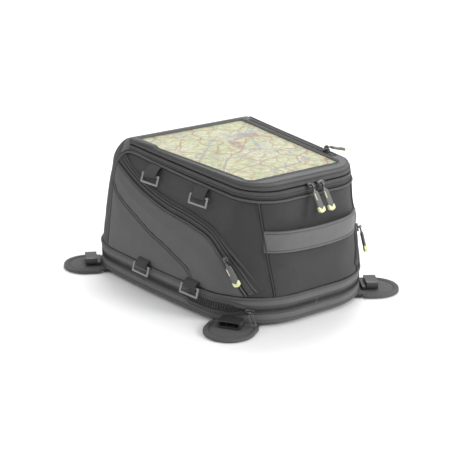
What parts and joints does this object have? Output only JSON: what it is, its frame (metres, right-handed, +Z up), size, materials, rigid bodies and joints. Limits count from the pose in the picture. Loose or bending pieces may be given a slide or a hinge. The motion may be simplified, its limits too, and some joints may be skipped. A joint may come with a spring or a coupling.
{
  "type": "motorcycle tank bag",
  "caption": "Zip-off magnetic tank bag with a clear map window in its hinged lid, side pockets, strap rings, a carry handle and magnet flaps.",
  "frame": {"origin": "middle of the length and width of the base, on its underside", "axes": "+Z up, +Y towards the front of the motorcycle, -Y towards the rider, +X to the rider's right"},
  "size_m": [0.377, 0.3983, 0.2079],
  "materials": {
    "black_fabric": "woven",
    "band_fabric": "woven",
    "soft_panel": "soft_touch",
    "handle_fabric": "grained",
    "zip_tape": "woven",
    "piping": "bound",
    "grip_rubber": "matt",
    "board": "matt",
    "magnet": "ground",
    "ring_metal": "satin",
    "slider_metal": "dark",
    "pull_grey": "textured",
    "buckle_black": "moulded",
    "flap_fabric": "rubberised",
    "map_paper": "printed",
    "clear_film": "clear",
    "binding_navy": "bound"
  },
  "bodies": {
    "base": {"grip_pad": "grip_rubber", "base_panel": "board", "base_band_lower": "band_fabric", "base_zip_lower": "zip_tape", "flap_tongues": "flap_fabric"},
    "bag": {"body_shell": "black_fabric", "floor_board": "board", "base_band_upper": "band_fabric", "base_zip_upper": "zip_tape", "piping_bottom": "piping", "piping_top": "piping", "main_zip_lower": "zip_tape", "carry_handle": "handle_fabric", "pocket_panel_left": "soft_panel", "pocket_zip_left": "zip_tape", "pocket_flap_left": "band_fabric", "ring_loops_left": "black_fabric", "pocket_panel_right": "soft_panel", "pocket_zip_right": "zip_tape", "pocket_flap_right": "band_fabric", "ring_loops_right": "black_fabric"},
    "lid": {"lid_shell": "band_fabric", "map_sheet": "map_paper", "map_window": "clear_film", "window_binding": "binding_navy", "main_zip_upper": "zip_tape", "map_zip": "zip_tape"},
    "main_slider_left": {"main_slider_left": "slider_metal"},
    "main_pull_left": {"main_pull_left": "pull_grey"},
    "main_slider_right": {"main_slider_right": "slider_metal"},
    "main_pull_right": {"main_pull_right": "pull_grey"},
    "pocket_slider_left": {"pocket_slider_left": "slider_metal"},
    "pocket_pull_left": {"pocket_pull_left": "pull_grey"},
    "pocket_slider_right": {"pocket_slider_right": "slider_metal"},
    "pocket_pull_right": {"pocket_pull_right": "pull_grey"},
    "map_slider": {"map_slider": "slider_metal"},
    "map_pull": {"map_pull": "pull_grey"},
    "base_slider": {"base_slider": "slider_metal"},
    "base_pull": {"base_pull": "slider_metal"},
    "ring_lower_front_left": {"ring_lower_front_left": "ring_metal"},
    "ring_lower_front_right": {"ring_lower_front_right": "ring_metal"},
    "ring_lower_rear_left": {"ring_lower_rear_left": "ring_metal"},
    "ring_lower_rear_right": {"ring_lower_rear_right": "ring_metal"},
    "ring_upper_front_left": {"ring_upper_front_left": "ring_metal"},
    "ring_upper_front_right": {"ring_upper_front_right": "ring_metal"},
    "ring_upper_rear_left": {"ring_upper_rear_left": "ring_metal"},
    "ring_upper_rear_right": {"ring_upper_rear_right": "ring_metal"},
    "flap_rear_left": {"flap_rear_left": "flap_fabric", "magnet_rear_left": "magnet"},
    "buckle_rear_left": {"buckle_rear_left": "buckle_black"},
    "flap_rear_right": {"flap_rear_right": "flap_fabric", "magnet_rear_right": "magnet"},
    "buckle_rear_right": {"buckle_rear_right": "buckle_black"},
    "flap_front_left": {"flap_front_left": "flap_fabric", "magnet_front_left": "magnet"},
    "buckle_front_left": {"buckle_front_left": "buckle_black"},
    "flap_front_right": {"flap_front_right": "flap_fabric", "magnet_front_right": "magnet"},
    "buckle_front_right": {"buckle_front_right": "buckle_black"}
  },
  "joints": [
    {"name": "bag_lift", "type": "slide", "parent": "base", "child": "bag", "axis": [0, 0, 1], "range_m": [0, 0.12]},
    {"name": "lid_hinge", "type": "hinge", "parent": "bag", "child": "lid", "pos_m": [0, 0.104, 0.2027], "axis": [-1, 0, 0], "range_deg": [0, 105]},
    {"name": "main_slider_left_run", "type": "slide", "parent": "bag", "child": "main_slider_left", "axis": [1, 0, 0], "range_m": [-0.028, 0]},
    {"name": "main_pull_left_swing", "type": "hinge", "parent": "main_slider_left", "child": "main_pull_left", "pos_m": [-0.004, -0.1819, 0.184], "axis": [-1, 0, 0], "range_deg": [0, 150]},
    {"name": "main_slider_right_run", "type": "slide", "parent": "bag", "child": "main_slider_right", "axis": [1, 0, 0], "range_m": [0, 0.018]},
    {"name": "main_pull_right_swing", "type": "hinge", "parent": "main_slider_right", "child": "main_pull_right", "pos_m": [0.013, -0.1819, 0.184], "axis": [-1, 0, 0], "range_deg": [0, 150]},
    {"name": "pocket_slider_left_run", "type": "slide", "parent": "bag", "child": "pocket_slider_left", "axis": [0.1608, -0.552, -0.8182], "range_m": [-0.012, 0.014]},
    {"name": "pocket_pull_left_swing", "type": "hinge", "parent": "pocket_slider_left", "child": "pocket_pull_left", "pos_m": [-0.11863, -0.14244, 0.0912], "axis": [-0.4209, 0.7115, -0.5627], "range_deg": [0, 140]},
    {"name": "pocket_slider_right_run", "type": "slide", "parent": "bag", "child": "pocket_slider_right", "axis": [-0.1608, -0.552, -0.8182], "range_m": [-0.012, 0.014]},
    {"name": "pocket_pull_right_swing", "type": "hinge", "parent": "pocket_slider_right", "child": "pocket_pull_right", "pos_m": [0.11863, -0.14244, 0.0912], "axis": [-0.4209, -0.7115, 0.5627], "range_deg": [0, 140]},
    {"name": "map_slider_run", "type": "slide", "parent": "lid", "child": "map_slider", "axis": [0.0729, 0.997, 0.027], "range_m": [0, 0.17]},
    {"name": "map_pull_swing", "type": "hinge", "parent": "map_slider", "child": "map_pull", "pos_m": [0.08637, -0.10321, 0.20544], "axis": [-0.0729, -0.997, -0.027], "range_deg": [-10, 120]},
    {"name": "base_slider_run", "type": "hinge", "parent": "base", "child": "base_slider", "pos_m": [-0.03283, -0.095, 0.024], "axis": [0, 0, 1], "range_deg": [0, 35]},
    {"name": "base_pull_swing", "type": "hinge", "parent": "base_slider", "child": "base_pull", "pos_m": [-0.10129, -0.17329, 0.024], "axis": [-0.7528, 0.6582, 0], "range_deg": [0, 80]},
    {"name": "ring_lower_front_left_swing", "type": "hinge", "parent": "bag", "child": "ring_lower_front_left", "pos_m": [-0.14531, 0.02059, 0.042], "axis": [-0.0608, 0.9982, 0], "range_deg": [0, 100]},
    {"name": "ring_lower_front_right_swing", "type": "hinge", "parent": "bag", "child": "ring_lower_front_right", "pos_m": [0.14531, 0.02059, 0.042], "axis": [-0.0608, -0.9982, 0], "range_deg": [0, 100]},
    {"name": "ring_lower_rear_left_swing", "type": "hinge", "parent": "bag", "child": "ring_lower_rear_left", "pos_m": [-0.13605, -0.08577, 0.042], "axis": [-0.1126, 0.9936, 0], "range_deg": [0, 100]},
    {"name": "ring_lower_rear_right_swing", "type": "hinge", "parent": "bag", "child": "ring_lower_rear_right", "pos_m": [0.13605, -0.08577, 0.042], "axis": [-0.1126, -0.9936, 0], "range_deg": [0, 100]},
    {"name": "ring_upper_front_left_swing", "type": "hinge", "parent": "bag", "child": "ring_upper_front_left", "pos_m": [-0.12345, 0.02635, 0.1695], "axis": [-0.0961, 0.9954, 0], "range_deg": [0, 100]},
    {"name": "ring_upper_front_right_swing", "type": "hinge", "parent": "bag", "child": "ring_upper_front_right", "pos_m": [0.12345, 0.02635, 0.1695], "axis": [-0.0961, -0.9954, 0], "range_deg": [0, 100]},
    {"name": "ring_upper_rear_left_swing", "type": "hinge", "parent": "bag", "child": "ring_upper_rear_left", "pos_m": [-0.11358, -0.0763, 0.16319], "axis": [-0.1179, 0.993, 0], "range_deg": [0, 100]},
    {"name": "ring_upper_rear_right_swing", "type": "hinge", "parent": "bag", "child": "ring_upper_rear_right", "pos_m": [0.11358, -0.0763, 0.16319], "axis": [-0.1179, -0.993, 0], "range_deg": [0, 100]},
    {"name": "flap_rear_left_fold", "type": "hinge", "parent": "base", "child": "flap_rear_left", "pos_m": [-0.11016, -0.15355, 0.004], "axis": [-0.5446, 0.8387, 0], "range_deg": [-75, 0]},
    {"name": "buckle_rear_left_tilt", "type": "hinge", "parent": "flap_rear_left", "child": "buckle_rear_left", "pos_m": [-0.11268, -0.15518, 0.0085], "axis": [-0.5446, 0.8387, 0], "range_deg": [0, 10]},
    {"name": "flap_rear_right_fold", "type": "hinge", "parent": "base", "child": "flap_rear_right", "pos_m": [0.11016, -0.15355, 0.004], "axis": [-0.5446, -0.8387, 0], "range_deg": [-75, 0]},
    {"name": "buckle_rear_right_tilt", "type": "hinge", "parent": "flap_rear_right", "child": "buckle_rear_right", "pos_m": [0.11268, -0.15518, 0.0085], "axis": [-0.5446, -0.8387, 0], "range_deg": [0, 40]},
    {"name": "flap_front_left_fold", "type": "hinge", "parent": "base", "child": "flap_front_left", "pos_m": [-0.13461, 0.14861, 0.004], "axis": [0.4695, 0.8829, 0], "range_deg": [-75, 0]},
    {"name": "buckle_front_left_tilt", "type": "hinge", "parent": "flap_front_left", "child": "buckle_front_left", "pos_m": [-0.13726, 0.15002, 0.0085], "axis": [0.4695, 0.8829, 0], "range_deg": [0, 40]},
    {"name": "flap_front_right_fold", "type": "hinge", "parent": "base", "child": "flap_front_right", "pos_m": [0.13461, 0.14861, 0.004], "axis": [0.4695, -0.8829, 0], "range_deg": [-75, 0]},
    {"name": "buckle_front_right_tilt", "type": "hinge", "parent": "flap_front_right", "child": "buckle_front_right", "pos_m": [0.13726, 0.15002, 0.0085], "axis": [0.4695, -0.8829, 0], "range_deg": [0, 40]}
  ]
}
